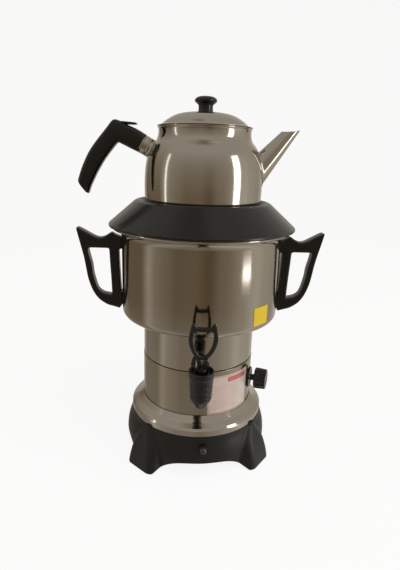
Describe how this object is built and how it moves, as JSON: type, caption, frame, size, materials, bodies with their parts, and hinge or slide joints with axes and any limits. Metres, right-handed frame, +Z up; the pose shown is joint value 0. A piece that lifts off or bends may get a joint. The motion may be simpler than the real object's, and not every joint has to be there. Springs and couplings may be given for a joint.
{
  "type": "samovar",
  "caption": "Electric samovar with a stepped steel tank, front tap, thermostat, side handles and a teapot on its cover.",
  "frame": {"origin": "centre of the floor plane under the four rubber feet", "axes": "+Z up, -Y towards the tap, +X towards the teapot's spout"},
  "size_m": [0.3432, 0.2721, 0.4975],
  "materials": {
    "dark_plastic": "fine satin",
    "rubber": "matte",
    "galvanised": "dull",
    "steel": "plain",
    "amber_lens": "glossy",
    "black_bakelite": "glossy moulded",
    "ring_polished": "mirror polish",
    "housing_satin": "satin",
    "tank_brushed": "brushed",
    "teapot_polished": "mirror polish",
    "label_printed": "plain bands",
    "label_yellow": "plain",
    "brass_plated": "plain",
    "ivory_block": "plain",
    "thermostat_case": "plain",
    "copper_capillary": "plain",
    "element_sheath": "heat dulled",
    "sleeved_wire": "plain",
    "spring_steel": "plain"
  },
  "bodies": {
    "samovar": {"base_moulding": "dark_plastic", "foot_pads": "rubber", "bottom_plate": "galvanised", "bottom_screws": "steel", "indicator_bezel": "black_bakelite", "indicator_lens": "amber_lens", "cord_gland": "dark_plastic", "gland_nut": "dark_plastic", "terminal_block": "ivory_block", "base_ring": "ring_polished", "heater_housing": "housing_satin", "rating_label": "label_printed", "seam_gasket": "rubber", "tie_rods": "steel", "tie_nuts": "steel", "thermostat_body": "thermostat_case", "thermostat_nut": "brass_plated", "thermostat_bezel": "black_bakelite", "thermostat_bulb": "copper_capillary", "bulb_clip": "galvanised", "overheat_cutout": "thermostat_case", "wiring": "sleeved_wire", "tank_shell": "tank_brushed", "tank_bottom": "tank_brushed", "heating_element": "element_sheath", "element_nuts": "brass_plated", "element_seals": "rubber", "caution_label": "label_yellow", "left_handle": "black_bakelite", "right_handle": "black_bakelite", "handle_screws": "steel", "handle_seals": "rubber", "tap_body": "black_bakelite", "tap_bonnet": "black_bakelite", "tap_spring": "spring_steel", "lever_pin": "steel", "lever_ring": "spring_steel", "tap_shank_nut": "steel", "tap_washers": "rubber"},
    "thermostat_dial": {"thermostat_spindle": "steel", "thermostat_knob": "black_bakelite"},
    "cover": {"cover_shell": "black_bakelite"},
    "teapot": {"teapot_body": "teapot_polished", "teapot_spout": "teapot_polished", "teapot_ferrule": "teapot_polished", "teapot_handle": "black_bakelite", "teapot_handle_bolt": "steel"},
    "lid": {"teapot_lid": "teapot_polished", "lid_knob": "black_bakelite", "lid_knob_screw": "steel"},
    "lever": {"tap_lever": "black_bakelite"},
    "valve": {"tap_stem": "steel", "tap_seat_cup": "rubber"}
  },
  "joints": [
    {"name": "cover_lift", "type": "slide", "parent": "samovar", "child": "cover", "axis": [0, 0, 1], "range_m": [0, 0.15]},
    {"name": "teapot_lift", "type": "slide", "parent": "cover", "child": "teapot", "axis": [0, 0, 1], "range_m": [0, 0.15]},
    {"name": "lid_lift", "type": "slide", "parent": "teapot", "child": "lid", "axis": [0, 0, 1], "range_m": [0, 0.1]},
    {"name": "thermostat_turn", "type": "hinge", "parent": "samovar", "child": "thermostat_dial", "pos_m": [0.07541, -0.0267, 0.1145], "axis": [-0.9426, 0.3338, 0], "range_deg": [0, 290]},
    {"name": "tap_lever_tilt", "type": "hinge", "parent": "samovar", "child": "lever", "pos_m": [0, -0.127, 0.187], "axis": [1, 0, 0], "range_deg": [0, 40], "stiffness_Nm_per_rad": 0.05, "springref_deg": -34.38},
    {"name": "tap_stem_lift", "type": "slide", "parent": "samovar", "child": "valve", "axis": [0, 0, 1], "range_m": [0, 0.0042], "deforming": ["tap_spring"]}
  ],
  "couplings": [
    {"joint": "tap_stem_lift", "follows": "tap_lever_tilt", "m_per_rad": 0.006}
  ]
}
